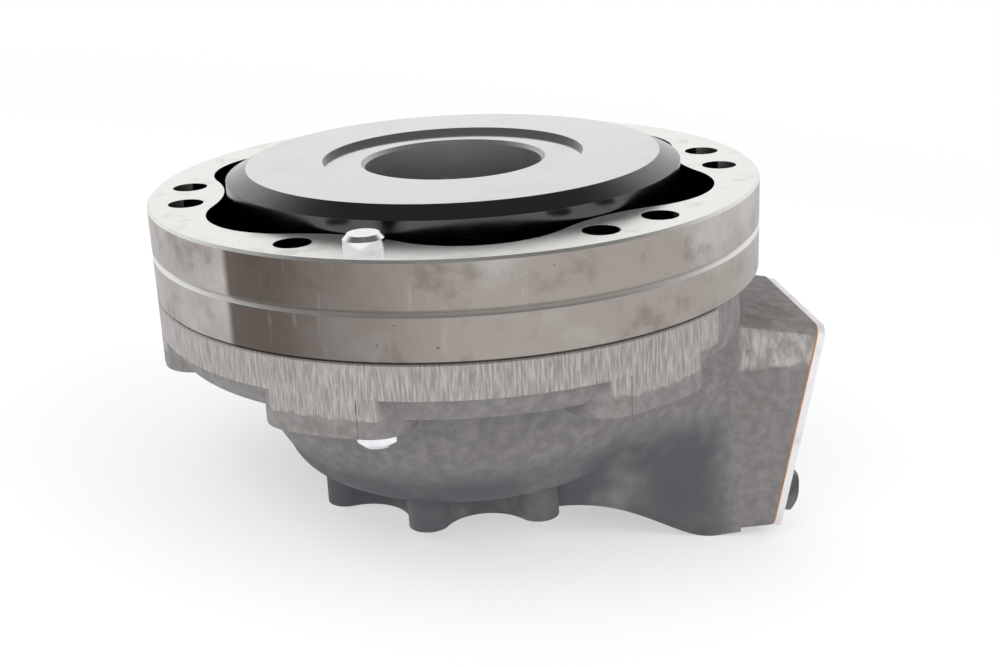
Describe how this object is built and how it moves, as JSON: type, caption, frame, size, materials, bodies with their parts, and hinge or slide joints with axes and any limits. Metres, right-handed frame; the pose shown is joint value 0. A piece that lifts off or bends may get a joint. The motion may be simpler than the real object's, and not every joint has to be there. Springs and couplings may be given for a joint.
{
  "type": "radial-piston drive motor hydrobase",
  "caption": "Rear half of a radial-piston track drive motor: two stacked cam rings on a cast valving cover with a port block, and a cylinder block with roller pistons.",
  "frame": {"origin": "centre of the upper cam ring's mating face, on the motor's axis", "axes": "+Z out of the mating face along the axis of rotation, +X towards the port block"},
  "size_m": [0.2677, 0.24, 0.1603],
  "materials": {
    "cast_iron": "rough as-cast, unpainted",
    "ring_steel": "ground and stained",
    "seal_rubber": "matte",
    "pin_steel": "bright ground",
    "distributor_iron": "machined, oily",
    "spring_steel": "blackened",
    "cap_steel": "turned",
    "gasket": "matte fibre sheet",
    "shipping_plate": "satin",
    "bolt_steel": "blackened",
    "washer_copper": "soft copper colour",
    "block_iron": "machined, wet with oil",
    "piston_steel": "ground",
    "ring_iron": "machined",
    "roller_steel": "ground"
  },
  "bodies": {
    "housing": {"valving_cover": "cast_iron", "upper_cam_ring": "ring_steel", "lower_cam_ring": "ring_steel", "ring_seal": "seal_rubber", "cover_seal": "seal_rubber", "locating_pin": "pin_steel", "distributor": "distributor_iron", "distributor_pin": "pin_steel", "distributor_spring": "spring_steel", "distributor_seal_upper": "seal_rubber", "distributor_seal_middle": "seal_rubber", "distributor_seal_lower": "seal_rubber", "end_cap": "cap_steel", "end_cap_seal": "seal_rubber", "end_cap_circlip": "spring_steel", "port_gasket": "gasket", "port_plate": "shipping_plate", "port_plate_bolts": "bolt_steel", "drain_plug": "bolt_steel", "drain_plug_washer": "washer_copper"},
    "block": {"cylinder_block": "block_iron"},
    "piston_1_set": {"piston_1": "piston_steel", "piston_ring_1": "ring_iron"},
    "roller_1_body": {"roller_1": "roller_steel"},
    "piston_2_set": {"piston_2": "piston_steel", "piston_ring_2": "ring_iron"},
    "roller_2_body": {"roller_2": "roller_steel"},
    "piston_3_set": {"piston_3": "piston_steel", "piston_ring_3": "ring_iron"},
    "roller_3_body": {"roller_3": "roller_steel"},
    "piston_4_set": {"piston_4": "piston_steel", "piston_ring_4": "ring_iron"},
    "roller_4_body": {"roller_4": "roller_steel"},
    "piston_5_set": {"piston_5": "piston_steel", "piston_ring_5": "ring_iron"},
    "roller_5_body": {"roller_5": "roller_steel"},
    "piston_6_set": {"piston_6": "piston_steel", "piston_ring_6": "ring_iron"},
    "roller_6_body": {"roller_6": "roller_steel"},
    "piston_7_set": {"piston_7": "piston_steel", "piston_ring_7": "ring_iron"},
    "roller_7_body": {"roller_7": "roller_steel"},
    "piston_8_set": {"piston_8": "piston_steel", "piston_ring_8": "ring_iron"},
    "roller_8_body": {"roller_8": "roller_steel"}
  },
  "joints": [
    {"name": "block_spin", "type": "hinge", "parent": "housing", "child": "block", "pos_m": [0, 0, -0.018], "axis": [0, 0, 1], "continuous": true},
    {"name": "piston_1_stroke", "type": "slide", "parent": "block", "child": "piston_1_set", "axis": [0, -1, 0], "range_m": [0, 0.01603]},
    {"name": "roller_1_spin", "type": "hinge", "parent": "piston_1_set", "child": "roller_1_body", "pos_m": [0, -0.075, -0.018], "axis": [0, 0, 1], "continuous": true},
    {"name": "piston_2_stroke", "type": "slide", "parent": "block", "child": "piston_2_set", "axis": [0.7071, -0.7071, 0], "range_m": [0, 0.00726]},
    {"name": "roller_2_spin", "type": "hinge", "parent": "piston_2_set", "child": "roller_2_body", "pos_m": [0.05303, -0.05303, -0.018], "axis": [0, 0, 1], "continuous": true},
    {"name": "piston_3_stroke", "type": "slide", "parent": "block", "child": "piston_3_set", "axis": [1, 0, 0], "range_m": [0, 0.00163]},
    {"name": "roller_3_spin", "type": "hinge", "parent": "piston_3_set", "child": "roller_3_body", "pos_m": [0.075, 0, -0.018], "axis": [0, 0, 1], "continuous": true},
    {"name": "piston_4_stroke", "type": "slide", "parent": "block", "child": "piston_4_set", "axis": [0.7071, 0.7071, 0], "range_m": [0, 0.00726]},
    {"name": "roller_4_spin", "type": "hinge", "parent": "piston_4_set", "child": "roller_4_body", "pos_m": [0.05303, 0.05303, -0.018], "axis": [0, 0, 1], "continuous": true},
    {"name": "piston_5_stroke", "type": "slide", "parent": "block", "child": "piston_5_set", "axis": [0, 1, 0], "range_m": [0, 0.01603]},
    {"name": "roller_5_spin", "type": "hinge", "parent": "piston_5_set", "child": "roller_5_body", "pos_m": [0, 0.075, -0.018], "axis": [0, 0, 1], "continuous": true},
    {"name": "piston_6_stroke", "type": "slide", "parent": "block", "child": "piston_6_set", "axis": [-0.7071, 0.7071, 0], "range_m": [0, 0.00726]},
    {"name": "roller_6_spin", "type": "hinge", "parent": "piston_6_set", "child": "roller_6_body", "pos_m": [-0.05303, 0.05303, -0.018], "axis": [0, 0, 1], "continuous": true},
    {"name": "piston_7_stroke", "type": "slide", "parent": "block", "child": "piston_7_set", "axis": [-1, 0, 0], "range_m": [0, 0.00163]},
    {"name": "roller_7_spin", "type": "hinge", "parent": "piston_7_set", "child": "roller_7_body", "pos_m": [-0.075, 0, -0.018], "axis": [0, 0, 1], "continuous": true},
    {"name": "piston_8_stroke", "type": "slide", "parent": "block", "child": "piston_8_set", "axis": [-0.7071, -0.7071, 0], "range_m": [0, 0.00726]},
    {"name": "roller_8_spin", "type": "hinge", "parent": "piston_8_set", "child": "roller_8_body", "pos_m": [-0.05303, -0.05303, -0.018], "axis": [0, 0, 1], "continuous": true}
  ]
}
